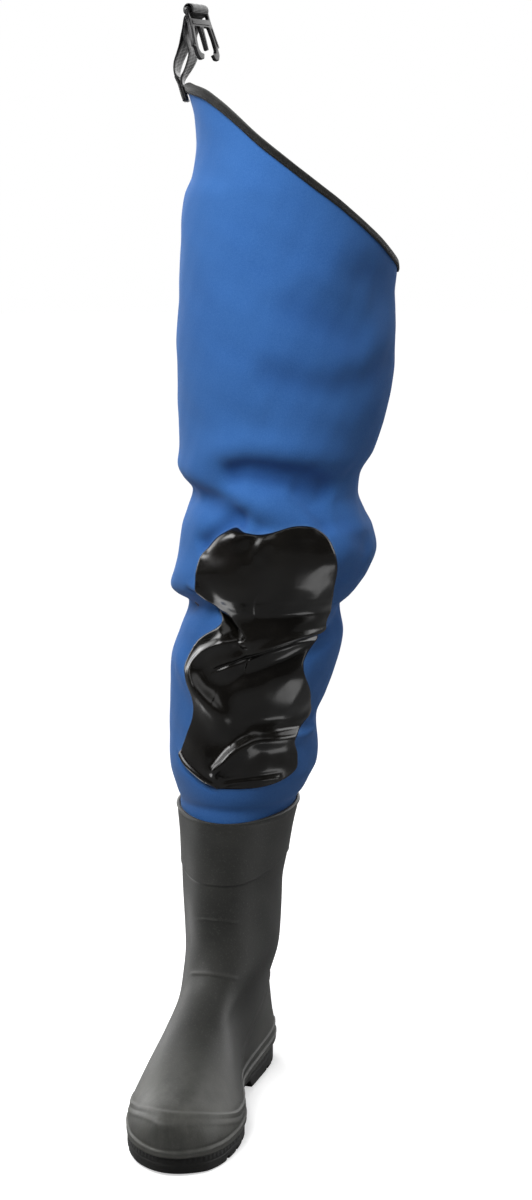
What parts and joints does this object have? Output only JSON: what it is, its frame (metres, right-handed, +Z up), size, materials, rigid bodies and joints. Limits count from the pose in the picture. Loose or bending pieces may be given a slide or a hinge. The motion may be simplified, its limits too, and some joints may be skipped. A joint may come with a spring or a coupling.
{
  "type": "hip wader",
  "caption": "Hip wader for the right leg: stretchy thigh-high shaft with a glossy knee patch and slanted bound top, moulded rubber boot with cleated sole, and a buckle on a webbing loop.",
  "frame": {"origin": "on the floor below the middle of the wader's bounding box", "axes": "+Z up along the leg, -Y towards the toe, -X towards the wearer's outer side"},
  "size_m": [0.219, 0.36, 1.0469],
  "materials": {
    "outsole": "matte black cleated rubber",
    "boot": "satin dark grey rubber",
    "insole": "plain foam",
    "leg": "soft blue knitted face on foam rubber",
    "knee_patch": "glossy black film",
    "top_binding": "black folded tape",
    "hip_strap": "black ribbed webbing",
    "buckle": "smooth black plastic"
  },
  "bodies": {
    "root": {"outsole": "outsole", "boot": "boot", "insole": "insole", "leg": "leg", "knee_patch": "knee_patch", "top_binding": "top_binding", "hip_strap": "hip_strap"},
    "buckle": {"buckle": "buckle"}
  },
  "joints": [
    {"name": "buckle_swing", "type": "hinge", "parent": "root", "child": "buckle", "pos_m": [-0.077, 0.0483, 1.041], "axis": [0.342, 0.9397, 0], "range_deg": [-265, 8]}
  ]
}
